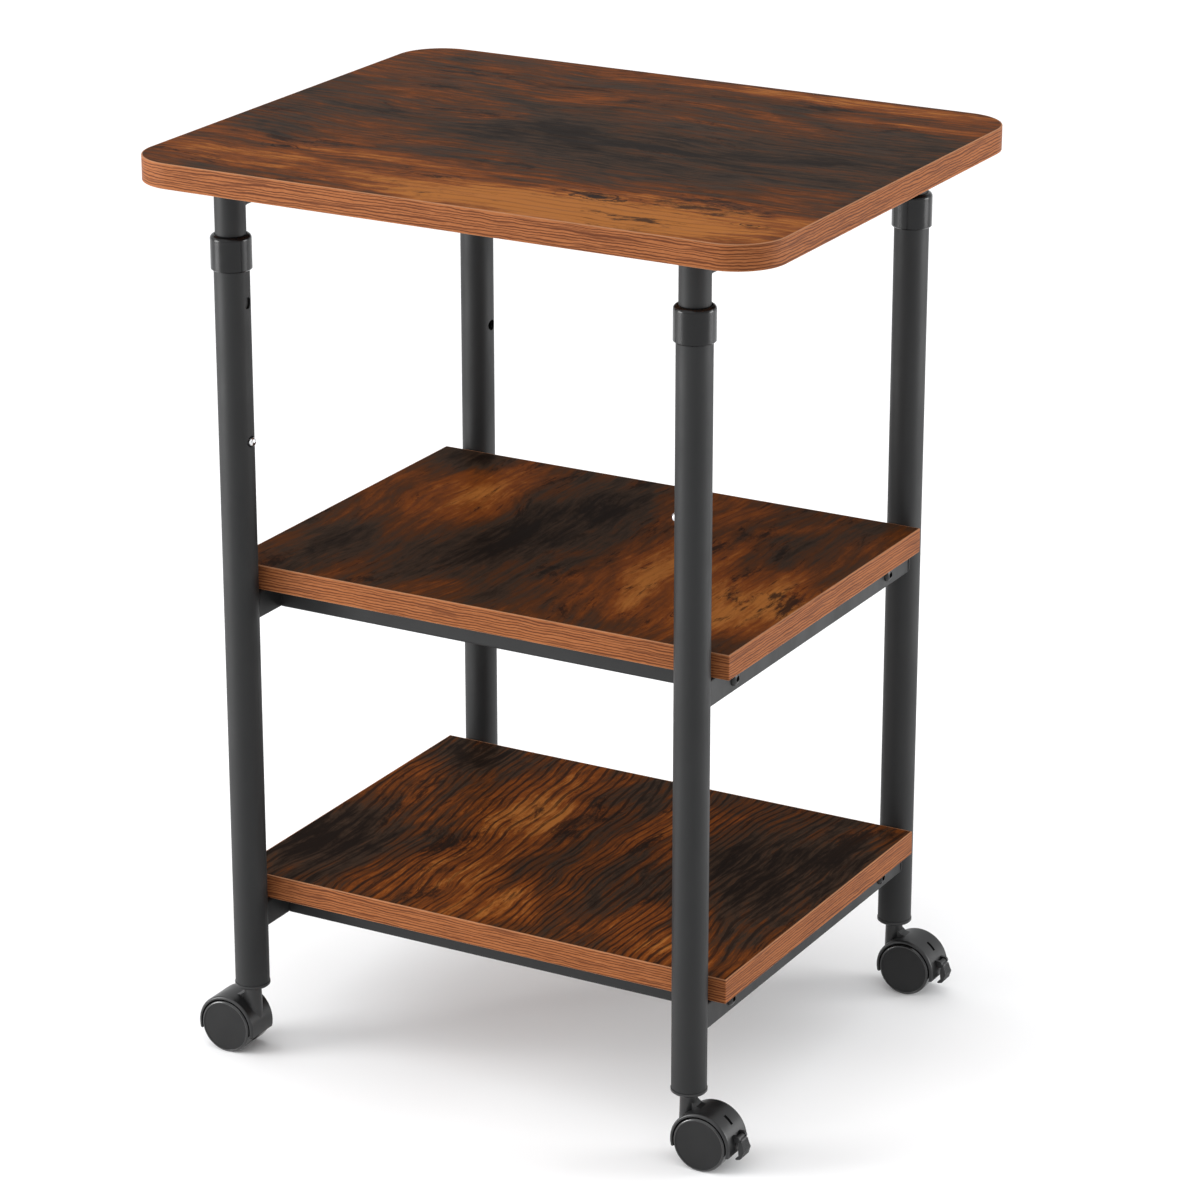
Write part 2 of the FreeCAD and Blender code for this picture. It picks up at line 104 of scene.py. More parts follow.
class StandColours(PropertyGroup):
    """Colours of the finishes"""

    wood_black: colour("Wood, darkest", "Near-black patches in the foil", (0.0120, 0.0075, 0.0056))
    wood_dark: colour("Wood, dark", "Dark brown of the foil", (0.0410, 0.0245, 0.0160))
    wood_brown: colour("Wood, brown", "Middle brown of the foil", (0.0780, 0.0262, 0.0088))
    wood_orange: colour("Wood, orange", "Orange brown of the foil", (0.185, 0.048, 0.009))
    wood_gold: colour("Wood, gold", "Brightest streaks of the foil", (0.350, 0.122, 0.026))
    band_light: colour("Band, light", "Ground colour of the edge band", (0.285, 0.104, 0.039))
    # Painted highlight: a paler colour for the band's rounded top and bottom edges, standing in for
    # the light they catch
    band_edge_highlight: colour("Band, lip", "Worn top and bottom edges of the band", (0.400, 0.190, 0.095))
    band_dark: colour("Band, dark", "Lines in the edge band", (0.085, 0.026, 0.012))
    steel_black: colour("Powder coat", "Coat on the tubes and rails", (0.0105, 0.0107, 0.0110))
    gloss_black: colour("Gloss plastic", "Collars on the legs", (0.0045, 0.0045, 0.0048))
    hood_black: colour("Hood plastic", "Hoods, sockets and brake levers", (0.0075, 0.0075, 0.0078))
    wheel_grey: colour("Wheel plastic", "Wheels", (0.0095, 0.0095, 0.0097))
    bright_steel: colour("Bright steel", "Buttons, stems and axles", (0.72, 0.72, 0.73))
    floor: colour("Floor", "The studio floor", (0.95, 0.95, 0.953))


# ---- finishes ----


class Finish:
    """A procedural material that is wired up step by step."""

    def __init__(self, name, colour, roughness, **surface):
        self.material = bpy.data.materials.new(name)
        self.material.use_nodes = True
        self.tree = self.material.node_tree
        self.shader = self.tree.nodes["Principled BSDF"]
        self.shader.inputs["Base Color"].default_value = (*colour, 1.0)
        self.shader.inputs["Roughness"].default_value = roughness
        for socket, value in surface.items():
            self.shader.inputs[socket.replace("_", " ")].default_value = value
        self.material.diffuse_color = (*colour, 1.0)

    def node(self, kind, inputs=None, **settings):
        """Add a node; inputs maps its sockets to values or to other nodes' outputs."""
        made = self.tree.nodes.new(kind)
        for key, value in settings.items():
            setattr(made, key, value)
        for key, value in (inputs or {}).items():
            if isinstance(value, bpy.types.NodeSocket):
                self.tree.links.new(value, made.inputs[key])
            else:
                made.inputs[key].default_value = value
        return made

    def place(self):
        """Position in the object, in metres."""
        return self.node("ShaderNodeTexCoord").outputs["Object"]

    def scaled(self, vector, scale, shift=(0.0, 0.0, 0.0)):
        """A position with more or fewer steps to the metre, moved by a shift."""
        inputs = {"Vector": vector, "Scale": scale, "Location": shift}
        return self.node("ShaderNodeMapping", inputs).outputs["Vector"]

    def noise(self, vector, detail=4.0, roughness=0.5, distortion=0.0):
        """Cloudy values from 0 to 1, one cloud to a step of the position."""
        inputs = {
            "Vector": vector,
            "Scale": 1.0,
            "Detail": detail,
            "Roughness": roughness,
            "Distortion": distortion,
        }
        return self.node("ShaderNodeTexNoise", inputs).outputs["Fac"]

    def calc(self, operation, a, b=0.0, c=0.0):
        """One sum on numbers or on other nodes' outputs."""
        inputs = {0: a, 1: b, 2: c}
        return self.node("ShaderNodeMath", inputs, operation=operation).outputs[0]

    def fit(self, value, low, high, to_low=0.0, to_high=1.0):
        """Map a value smoothly from one range to another."""
        inputs = {0: value, 1: low, 2: high, 3: to_low, 4: to_high}
        return self.node("ShaderNodeMapRange", inputs, interpolation_type="SMOOTHSTEP").outputs[0]

    def ramp(self, value, *stops):
        """Colours at stops between 0 and 1, blended between them."""
        made = self.node("ShaderNodeValToRGB", {"Fac": value})
        elements = made.color_ramp.elements
        while len(elements) < len(stops):
            elements.new(1.0)
        for element, (position, tint) in zip(elements, stops):
            element.position = position
            element.color = (*tint, 1.0)
        return made.outputs["Color"]

    def mix(self, amount, a, b):
        """Blend two colours, each a plain colour or another node's output."""
        made = self.node("ShaderNodeMix", data_type="RGBA")
        for index, value in ((0, amount), (6, a), (7, b)):
            if isinstance(value, bpy.types.NodeSocket):
                self.tree.links.new(value, made.inputs[index])
            else:
                made.inputs[index].default_value = value if index == 0 else (*value, 1.0)
        return made.outputs[2]

    def away(self, vector, centre, reach):
        """Distance from a centre, where 1 is an oval at its reach along X and along Y."""
        scale = (1 / reach[0], 1 / reach[1], 0.0)
        shift = (-centre[0] / reach[0], -centre[1] / reach[1], 0.0)
        here = self.scaled(vector, scale, shift)
        return self.node("ShaderNodeVectorMath", {0: here}, operation="LENGTH").outputs["Value"]

    def patch(self, vector, centre, reach, amount):
        """A soft oval area: amount at its centre, nothing outside its reach."""
        return self.fit(self.away(vector, centre, reach), 0.15, 1.0, amount, 0.0)

    def wire(self, colour, roughness=None, height=None, strength=0.1, distance=0.0001):
        """Connect what has been built to the shader, a height as a bump this strong and deep."""
        self.tree.links.new(colour, self.shader.inputs["Base Color"])
        if roughness is not None:
            self.tree.links.new(roughness, self.shader.inputs["Roughness"])
        if height is not None:
            inputs = {"Height": height, "Strength": strength, "Distance": distance}
            bump = self.node("ShaderNodeBump", inputs)
            self.tree.links.new(bump.outputs["Normal"], self.shader.inputs["Normal"])
        return self.material


class Foil(Finish):
    """Printed rustic wood on a board's face. Scales are steps per metre, along and across."""

    def __init__(self, name, tints, along_x, specular):
        super().__init__(name, tints.wood_brown, 0.55, Specular_IOR_Level=specular)
        self.black = tints.wood_black
        self.along_x = along_x
        self.face = self.place()
        split = self.node("ShaderNodeSeparateXYZ", {0: self.face})
        along, across = (0, 1) if along_x else (1, 0)
        self.along = split.outputs[along]
        self.bent = split.outputs[across]
        self.level = split.outputs[2]
        # The grain drifts to and fro over a hand's width, and wobbles on the way
        drift = self.layer((5, 6), detail=2.0)
        self.bent = self.calc("MULTIPLY_ADD", drift, 0.055, self.bent)
        wobble = self.layer((22, 30), (3, 1, 0), detail=3.0)
        self.bent = self.calc("MULTIPLY_ADD", wobble, 0.007, self.bent)

    def layer(self, scale, shift=(0, 0, 0), **texture):
        """Noise that follows the grain."""
        parts = {0: self.along, 1: self.bent, 2: self.level}
        spot = self.node("ShaderNodeCombineXYZ", parts).outputs[0]
        return self.noise(self.scaled(spot, (*scale, 3.0), shift), **texture)

    def tone(self, streak, hair, streaks):
        """How light the print is, from broad clouds down to hairlines."""
        broad = self.layer((6, 15), detail=7.0, roughness=0.6, distortion=0.5)
        mottle = self.layer((26, 78), (4, 1, 0), detail=8.0, roughness=0.74, distortion=0.3)
        crisp = self.fit(streak, 0.41, 0.57)
        tone = self.calc("MULTIPLY_ADD", broad, 1.25, -0.49)
        tone = self.calc("MULTIPLY_ADD", mottle, 0.72, tone)
        for fine, strength in ((crisp, 0.22), (hair, 0.75)):
            centred = self.calc("SUBTRACT", fine, 0.5)
            tone = self.calc("MULTIPLY_ADD", centred, strength * streaks, tone)
        return tone

    def scorched(self, tint, streak):
        """Add near-black areas with torn edges, and short dark dashes."""
        torn = self.layer((10, 27), (9, 5, 0), detail=8.0, roughness=0.74, distortion=0.3)
        torn = self.calc("MULTIPLY_ADD", streak, 0.10, torn)
        tint = self.mix(self.fit(torn, 0.60, 0.69, 0.0, 0.85), tint, self.black)
        dashes = self.layer((24, 210), (6, 8, 0), detail=5.0, roughness=0.7)
        return self.mix(self.fit(dashes, 0.60, 0.67, 0.0, 0.7), tint, self.black)

    def lined(self, tint, hair, strength):
        """Add long growth lines that get thicker and thinner."""
        swell = self.layer((3, 8), (5, 2, 0), detail=1.0)
        steady = self.calc("MULTIPLY", self.bent, 900.0)
        waves = self.calc("SINE", self.calc("MULTIPLY_ADD", swell, 60.0, steady))
        lines = self.fit(self.calc("MULTIPLY_ADD", hair, 0.8, waves), 0.75, 1.2)
        broken = self.layer((16, 90), (7, 2, 0), detail=4.0, roughness=0.65)
        line = self.calc("MULTIPLY", lines, self.fit(broken, 0.3, 0.52))
        return self.mix(self.calc("MULTIPLY", line, strength), tint, self.black)

    def knot(self, tint, centre, size):
        """Add a dark eye in rings, drawn out along the grain."""
        thin = size / 2.4
        reach = (size, thin) if self.along_x else (thin, size)
        swirl = self.noise(self.scaled(self.face, (110, 110, 1)), 4.0, 0.6)
        away = self.calc("MULTIPLY_ADD", swirl, 0.9, self.away(self.face, centre, reach))
        ring = self.fit(self.calc("SINE", self.calc("MULTIPLY", away, 15.0)), 0.3, 0.95)
        ring = self.calc("MULTIPLY", ring, self.fit(away, 1.0, 1.6, 1.0, 0.0))
        tint = self.mix(self.calc("MULTIPLY", ring, 0.8), tint, self.black)
        return self.mix(self.fit(away, 0.55, 0.85, 0.85, 0.0), tint, self.black)


def foil_wood(name, tints, along_x, patches, knots, lines, streaks, specular):
    """Printed wood from its parts.

    patches are areas (centre, reach, amount), lighter where the amount is above zero.
    knots are (centre, size). lines and streaks say how strong those two are.
    """
    wood = Foil(name, tints, along_x, specular)
    streak = wood.layer((9, 150), (0, 3, 0), detail=6.0, roughness=0.7)
    hair = wood.layer((36, 330), (2, 0, 0), detail=5.0, roughness=0.75)
    tone = wood.tone(streak, hair, streaks)
    for centre, reach, amount in patches:
        tone = wood.calc("ADD", tone, wood.patch(wood.face, centre, reach, amount))
    tint = wood.ramp(
        tone,
        (0.14, tints.wood_black),
        (0.36, tints.wood_dark),
        (0.55, tints.wood_brown),
        (0.78, tints.wood_orange),
        (1.0, tints.wood_gold),
    )
    tint = wood.lined(wood.scorched(tint, streak), hair, lines)
    for centre, size in knots:
        tint = wood.knot(tint, centre, size)
    rough = wood.fit(streak, 0.25, 0.8, 0.42, 0.56)
    height = wood.calc("MULTIPLY_ADD", hair, 0.6, streak)
    return wood.wire(tint, rough, height, 0.14, 0.0002)


def banded_oak(tints):
    """Edge band: a reddish ground, thin dark lines along the edge and a painted highlight, a paler
    colour on the rounded edges that face up and down.
    """
    oak = Finish("banded_oak", tints.band_light, 0.52, Specular_IOR_Level=0.04)
    place = oak.place()
    split = oak.node("ShaderNodeSeparateXYZ", {0: place})
    # Height on the edge, pushed a little up and down on the way round
    wave = oak.noise(oak.scaled(place, (45, 45, 60)), 3.0, 0.6)
    level = oak.calc("MULTIPLY_ADD", wave, 0.0030, split.outputs[2])
    parts = {0: split.outputs[0], 1: split.outputs[1], 2: level}
    waved = oak.node("ShaderNodeCombineXYZ", parts).outputs[0]

    swell = oak.noise(oak.scaled(waved, (9, 9, 260)), 2.0, 0.5)
    phase = oak.calc("MULTIPLY_ADD", swell, 11.0, oak.calc("MULTIPLY", level, 3100.0))
    lines = oak.fit(oak.calc("SINE", phase), 0.1, 0.75)
    thin = oak.noise(oak.scaled(waved, (26, 26, 1000), (3, 3, 0)), 2.0, 0.6)
    ticks = oak.noise(oak.scaled(waved, (230, 230, 1500), (1, 5, 0)), 2.0)
    ground = oak.mix(oak.fit(ticks, 0.35, 0.7, 0.0, 0.35), tints.band_light, tints.wood_orange)
    dark = oak.calc("MAXIMUM", lines, oak.fit(thin, 0.54, 0.62, 0.0, 0.7))
    tint = oak.mix(oak.calc("MULTIPLY", dark, 0.9), ground, tints.band_dark)

    normal = oak.node("ShaderNodeNewGeometry").outputs["Normal"]
    up = oak.node("ShaderNodeSeparateXYZ", {0: normal}).outputs[2]
    # Painted highlight: the more a face of the band points up or down, as its rounded lips do, the
    # more of the paler highlight colour it gets
    edge_highlight_share = oak.fit(oak.calc("ABSOLUTE", up), 0.1, 0.6, 0.0, 0.75)
    tint = oak.mix(edge_highlight_share, tint, tints.band_edge_highlight)
    return oak.wire(tint, oak.fit(thin, 0.3, 0.7, 0.5, 0.42), thin, 0.12, 0.0002)


def powder_coat(name, tint, roughness=0.54):
    """Satin powder coat with a fine orange-peel skin."""
    coat = Finish(name, tint, roughness, Specular_IOR_Level=0.3)
    place = coat.place()
    peel = coat.noise(coat.scaled(place, (1400, 1400, 1400)), 2.0)
    cloud = coat.noise(coat.scaled(place, (45, 45, 20)), 3.0)
    speck = coat.noise(coat.scaled(place, (5200, 5200, 5200)), 1.0)
    paler = tuple(min(1.0, c * 1.45 + 0.002) for c in tint)
    shade = coat.mix(coat.fit(speck, 0.5, 0.75, 0.0, 0.55), tuple(tint), paler)
    rough = coat.fit(cloud, 0.3, 0.7, roughness - 0.05, roughness + 0.06)
    return coat.wire(shade, rough, peel, 0.22, 0.00012)


def moulded(name, tint, roughness, grain, strength=0.12, **surface):
    """Moulded plastic: a fine spark-eroded grain and slightly uneven gloss."""
    plastic = Finish(name, tint, roughness, **surface)
    place = plastic.place()
    skin = plastic.noise(plastic.scaled(place, (grain, grain, grain)), 3.0)
    flow = plastic.noise(plastic.scaled(place, (90, 90, 90)), 2.0)
    paler = tuple(min(1.0, c * 1.3 + 0.001) for c in tint)
    shade = plastic.mix(plastic.fit(flow, 0.35, 0.7, 0.0, 0.5), tuple(tint), paler)
    rough = plastic.fit(flow, 0.3, 0.7, roughness - 0.04, roughness + 0.05)
    return plastic.wire(shade, rough, skin, strength, 0.0001)


def bright_metal(name, tint, roughness, stretch=(900, 900, 900)):
    """Plated or drawn steel with fine marks."""
    metal = Finish(name, tint, roughness, Metallic=1.0)
    place = metal.place()
    marks = metal.noise(metal.scaled(place, stretch), 3.0)
    darker = tuple(c * 0.72 for c in tint)
    shade = metal.mix(metal.fit(marks, 0.4, 0.75, 0.0, 0.5), tuple(tint), darker)
    rough = metal.fit(marks, 0.3, 0.7, roughness, roughness + 0.12)
    return metal.wire(shade, rough, marks, 0.08, 0.00005)


def dress(material, *names):
    """Give CAD nodes a finish."""
    for name in names:
        for slot in nodes[name].material_slots:
            slot.material = material


def every(start):
    """Names of the CAD nodes that start in the same way."""
    return [name for name in sorted(nodes) if name.startswith(start)]


# ---- mesh building ----


def finished(bm, name, body, material, replaced=(), angle=35.0):
    """Turn a bmesh into a piece that rides on a body."""
    bmesh.ops.recalc_face_normals(bm, faces=bm.faces)
    mesh = bpy.data.meshes.new(name)
    bm.to_mesh(mesh)
    bm.free()
    mesh.polygons.foreach_set("use_smooth", [True] * len(mesh.polygons))
    mesh.set_sharp_from_angle(angle=math.radians(angle))
    mesh.materials.append(material)
    piece = bpy.data.objects.new(name, mesh)
    bpy.context.scene.collection.objects.link(piece)
    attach(piece, body)
    if replaced:
        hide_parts(*replaced)
    return piece


def lathe(bm, profile, centre, axis, steps, closed=True):
    """Turn (radius, distance along the axis) points about an axis through a centre.

    A point with no radius is a single vertex on the axis.
    """
    side = Vector((0, 0, 1)) if abs(axis.z) < 0.9 else Vector((1, 0, 0))
    other = axis.cross(side)
    rings = []
    for radius, reach in profile:
        if not radius:
            rings.append([bm.verts.new(centre + axis * reach)])
            continue
        ring = []
        for i in range(steps):
            turn = 2 * math.pi * i / steps
            way = side * math.cos(turn) + other * math.sin(turn)
            ring.append(bm.verts.new(centre + axis * reach + way * radius))
        rings.append(ring)
    pairs = list(zip(rings, rings[1:]))
    if closed:
        pairs.append((rings[-1], rings[0]))
    for a, b in pairs:
        if len(a) == 1 and len(b) == 1:
            continue
        for i in range(steps):
            j = (i + 1) % steps
            if len(a) == 1:
                bm.faces.new((a[0], b[i], b[j]))
            elif len(b) == 1:
                bm.faces.new((a[i], b[0], a[j]))
            else:
                bm.faces.new((a[i], b[i], b[j], a[j]))


def arc(centre, radius, start, end, steps):
    """Points on a circle, from one angle in degrees to another."""
    turns = [math.radians(start + (end - start) * i / steps) for i in range(steps + 1)]
    return [(centre[0] + radius * math.cos(t), centre[1] + radius * math.sin(t)) for t in turns]


def bead_ring(bm, path, radii, steps=10):
    """A closed bead along a ring of points, with its own radius at each."""
    rings = []
    count = len(path)
    for i, point in enumerate(path):
        way = (path[(i + 1) % count] - path[i - 1]).normalized()
        side = way.orthogonal() if i == 0 else side - way * side.dot(way)
        side.normalize()
        other = way.cross(side)
        ring = []
        for k in range(steps):
            turn = 2 * math.pi * k / steps
            out = side * math.cos(turn) + other * math.sin(turn)
            ring.append(bm.verts.new(point + out * radii[i]))
        rings.append(ring)
    # The last ring meets the first at the step that turns the frame least
    first, last = rings[0], rings[-1]
    twist = min(range(steps), key=lambda t: (first[t].co - last[0].co).length)
    for i in range(count):
        a, b = rings[i], rings[(i + 1) % count]
        skip = twist if i == count - 1 else 0
        for k in range(steps):
            m = (k + 1) % steps
            bm.faces.new((a[k], b[(k + skip) % steps], b[(m + skip) % steps], a[m]))


# ---- operators ----


class STAND_OT_boards(Operator):
    """Give the top and the two shelves their printed wood"""

    bl_idname = "stand.boards"
    bl_label = "Boards"

    def execute(self, context):
        tints = context.scene.stand_colours
        top = foil_wood(
            "rustic_foil_top",
            tints,
            along_x=True,
            patches=[
                ((-0.165, -0.140), (0.150, 0.060), 0.22),
                ((0.020, -0.172), (0.230, 0.062), 0.60),
                ((0.170, -0.150), (0.160, 0.080), 0.44),
                ((0.110, 0.184), (0.170, 0.022), 0.36),
                ((0.185, 0.140), (0.110, 0.016), 0.24),
                ((0.040, -0.010), (0.270, 0.105), -0.26),
                ((0.200, 0.060), (0.120, 0.070), -0.16),
                ((-0.170, 0.110), (0.140, 0.100), 0.05),
                ((-0.200, 0.000), (0.090, 0.060), -0.10),
            ],
            knots=[((0.092, -0.135), 0.036), ((-0.165, -0.118), 0.022), ((0.212, -0.150), 0.015)],
            lines=0.25,
            streaks=0.85,
            specular=0.012,
        )
        middle = foil_wood(
            "rustic_foil_middle",
            tints,
            along_x=False,
            patches=[
                ((-0.122, 0.060), (0.060, 0.130), 0.24),
                ((-0.035, 0.030), (0.070, 0.150), -0.30),
                ((0.165, -0.060), (0.070, 0.110), 0.48),
                ((0.150, 0.055), (0.030, 0.050), -0.20),
                ((-0.165, 0.130), (0.050, 0.040), -0.26),
                ((-0.150, -0.070), (0.040, 0.060), -0.12),
                ((0.085, -0.020), (0.070, 0.120), 0.30),
            ],
            knots=[((0.130, -0.095), 0.012)],
            lines=0.15,
            streaks=0.45,
            specular=0.004,
        )
        bottom = foil_wood(
            "rustic_foil_bottom",
            tints,
            along_x=False,
            patches=[
                ((-0.060, 0.030), (0.060, 0.130), 0.40),
                ((-0.035, -0.110), (0.090, 0.090), 0.34),
                ((-0.175, -0.050), (0.050, 0.110), -0.30),
                ((0.150, 0.040), (0.110, 0.120), -0.24),
                ((-0.150, 0.125), (0.080, 0.050), -0.28),
                ((0.060, -0.040), (0.060, 0.100), -0.10),
                ((0.110, -0.100), (0.060, 0.060), 0.22),
            ],
            knots=[],
            lines=0.75,
            streaks=0.9,
            specular=0.004,
        )
        dress(top, "top_board")
        dress(middle, "middle_shelf_board")
        dress(bottom, "bottom_shelf_board")
        return {"FINISHED"}


class STAND_OT_edge_bands(Operator):
    """Give the strips round the boards their lined oak finish"""

    bl_idname = "stand.edge_bands"
    bl_label = "Edge Bands"

    def execute(self, context):
        oak = banded_oak(context.scene.stand_colours)
        dress(oak, "top_edge_band", "middle_shelf_edge_band", "bottom_shelf_edge_band")
        return {"FINISHED"}


class STAND_OT_legs(Operator):
    """Coat the tubes and finish the collars and sockets"""

    bl_idname = "stand.legs"
    bl_label = "Legs"

    def execute(self, context):
        tints = context.scene.stand_colours
        dress(powder_coat("leg_coat", tints.steel_black), *every("leg_tube"), *every("inner_tube"))
        collar = moulded("collar_gloss", tints.gloss_black, 0.2, 700, 0.03, Specular_IOR_Level=0.3)
        dress(collar, *every("collar"))
        dress(moulded("socket_plastic", tints.hood_black, 0.34, 1500), *every("caster_socket"))
        return {"FINISHED"}


class STAND_OT_rails(Operator):
    """Coat the rails, add the weld beads at their ends and finish the bolts and screws"""

    bl_idname = "stand.rails"
    bl_label = "Rails"

    # The rail's section is an oval that this power squares off, and this many points go round it
    BLUNT = 6
    POINTS = 96
    # The bead's radius: its least share of the setting, and how much of it the ripples change
    LEAST = 0.85
    RIPPLE = 0.35
    RIPPLES_PER_METRE = 700

    def bead_path(self, rail, leg):
        """Points round a rail's end, where it meets a leg's tube."""
        low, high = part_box(rail)
        leg_low, leg_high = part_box(leg)
        middle = (Vector(leg_low) + Vector(leg_high)) / 2
        radius = (leg_high[0] - leg_low[0]) / 2
        half, tall = (high[0] - low[0]) / 2, (high[2] - low[2]) / 2
        height = (high[2] + low[2]) / 2
        inward = -math.copysign(1, middle.y)
        path = []
        for i in range(self.POINTS):
            turn = 2 * math.pi * i / self.POINTS
            cos, sin = math.cos(turn), math.sin(turn)
            blunt = (abs(cos) ** self.BLUNT + abs(sin) ** self.BLUNT) ** (-1 / self.BLUNT)
            aside, up = half * cos * blunt, tall * sin * blunt
            out = math.sqrt(max(radius**2 - aside**2, 0.0))
            path.append(Vector((middle.x + aside, middle.y + inward * out, height + up)))
        return path

    def execute(self, context):
        tints = context.scene.stand_colours
        sizes = context.scene.stand_sizes
        coat = powder_coat("rail_coat", tints.steel_black, 0.5)
        rails = [name for name in sorted(nodes) if "_rail" in name and "bolt" not in name]
        dress(coat, *rails)
        ends = [(side, end) for side in ("left", "right") for end in ("front", "back")]
        groups = {
            "lower_frame": [
                (f"{level}_side_rail_{side}", f"leg_tube_{end}_{side}")
                for level in ("middle", "bottom")
                for side, end in ends
            ],
            "table_top": [(f"top_rail_{side}", f"inner_tube_{end}_{side}") for side, end in ends],
        }
        for body, joins in groups.items():
            bm = bmesh.new()
            for rail, leg in joins:
                path = self.bead_path(rail, leg)
                # Each joint has its own place in the noise, so that no two beads are alike
                seed = Vector((len(rail), len(leg), path[0].z * 90))
                ripples = [noise.noise(p * self.RIPPLES_PER_METRE + seed) for p in path]
                radii = [sizes.bead * (self.LEAST + self.RIPPLE * ripple) for ripple in ripples]
                bead_ring(bm, path, radii)
            finished(bm, "weld_beads_" + body, body, coat, angle=60)
        bolt = powder_coat("bolt_black", tints.gloss_black, 0.3)
        dress(bolt, "rail_bolts")
        zinc = bright_metal("zinc_plate", (0.55, 0.55, 0.53), 0.35)
        dress(zinc, "shelf_screws", "top_screws")
        return {"FINISHED"}


class STAND_OT_height_locks(Operator):
    """Finish the snap buttons and their springs"""

    bl_idname = "stand.height_locks"
    bl_label = "Height Locks"

    def execute(self, context):
        tints = context.scene.stand_colours
        dress(bright_metal("button_nickel", tints.bright_steel, 0.16), *every("snap_button"))
        strip = bright_metal("spring_strip", (0.30, 0.31, 0.34), 0.3, (200, 200, 1800))
        dress(strip, "button_springs")
        return {"FINISHED"}


class STAND_OT_caster_hoods(Operator):
    """Finish the caster hoods, their stems and axles"""

    bl_idname = "stand.caster_hoods"
    bl_label = "Caster Hoods"

    def execute(self, context):
        tints = context.scene.stand_colours
        dress(moulded("hood_plastic", tints.hood_black, 0.36, 1500), *every("caster_hood"))
        steel = bright_metal("stem_chrome", tints.bright_steel, 0.12)
        dress(steel, "caster_stems", *every("caster_axle"))
        return {"FINISHED"}


class STAND_OT_caster_wheels(Operator):
    """Turn the eight wheels, with a rounded rim and a sunk matt face"""

    bl_idname = "stand.caster_wheels"
    bl_label = "Caster Wheels"

    # The blind bore for the axle: its radius, and its end from the caster's middle
    BORE = 3.05 * MM
    BORE_END = 12.2 * MM
    # The bulge of the face, as (share of the face's radius, rise)
    BULGE = ((0.985, 0.0), (0.7, 0.12 * MM), (0.3, 0.18 * MM), (0.0, 0.2 * MM))
    RIM_STEPS = 10

    def profile(self, sizes, radius, inner, outer):
        """Half section of a wheel, (radius, distance from the caster's middle)."""
        turned = sizes.wheel_round
        face = sizes.wheel_face
        deep = outer - sizes.wheel_inset
        inner_edge = [
            (self.BORE, inner),
            (radius - 1.2 * MM, inner),
            (radius - 0.2 * MM, inner + 0.6 * MM),
            (radius, inner + 1.6 * MM),
        ]
        rim = arc((radius - turned, outer - turned), turned, 0, 90, self.RIM_STEPS)
        step = [(face + 0.3 * MM, outer), (face, outer - 0.1 * MM), (face - 0.1 * MM, deep)]
        bulge = [(face * share, deep + rise) for share, rise in self.BULGE]
        bore = [(0.0, self.BORE_END), (self.BORE, self.BORE_END)]
        return inner_edge + rim + step + bulge + bore

    def execute(self, context):
        sizes = context.scene.stand_sizes
        tints = context.scene.stand_colours
        matt = moulded("wheel_face", tints.wheel_grey, 0.5, 1300, 0.16, Specular_IOR_Level=0.25)
        gloss = moulded("wheel_rim", tints.hood_black, 0.2, 900, 0.05, Coat_Weight=0.3)
        for corner in CORNERS:
            for place, hand in (("front", -1), ("back", 1)):
                name = f"caster_wheel_{corner}_{place}"
                low, high = (Vector(v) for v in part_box(name))
                centre = (low + high) / 2
                middle = CORNERS[corner][1] * LEG[1] * MM
                near, far = sorted(abs(v - middle) for v in (low.y, high.y))
                radius = (high.z - low.z) / 2
                bm = bmesh.new()
                lathe(
                    bm,
                    self.profile(sizes, radius, near, far),
                    Vector((centre.x, middle, centre.z)),
                    Vector((0, hand, 0)),
                    sizes.wheel_steps,
                )
                body = f"wheel_{corner}_{place}"
                piece = finished(
                    bm, name + "_turned", body, matt, (name,), angle=28
                )
                piece.data.materials.append(gloss)
                for face in piece.data.polygons:
                    spot = face.center
                    out = math.hypot(spot.x - centre.x, spot.z - centre.z)
                    face.material_index = int(out > sizes.wheel_face)
        return {"FINISHED"}


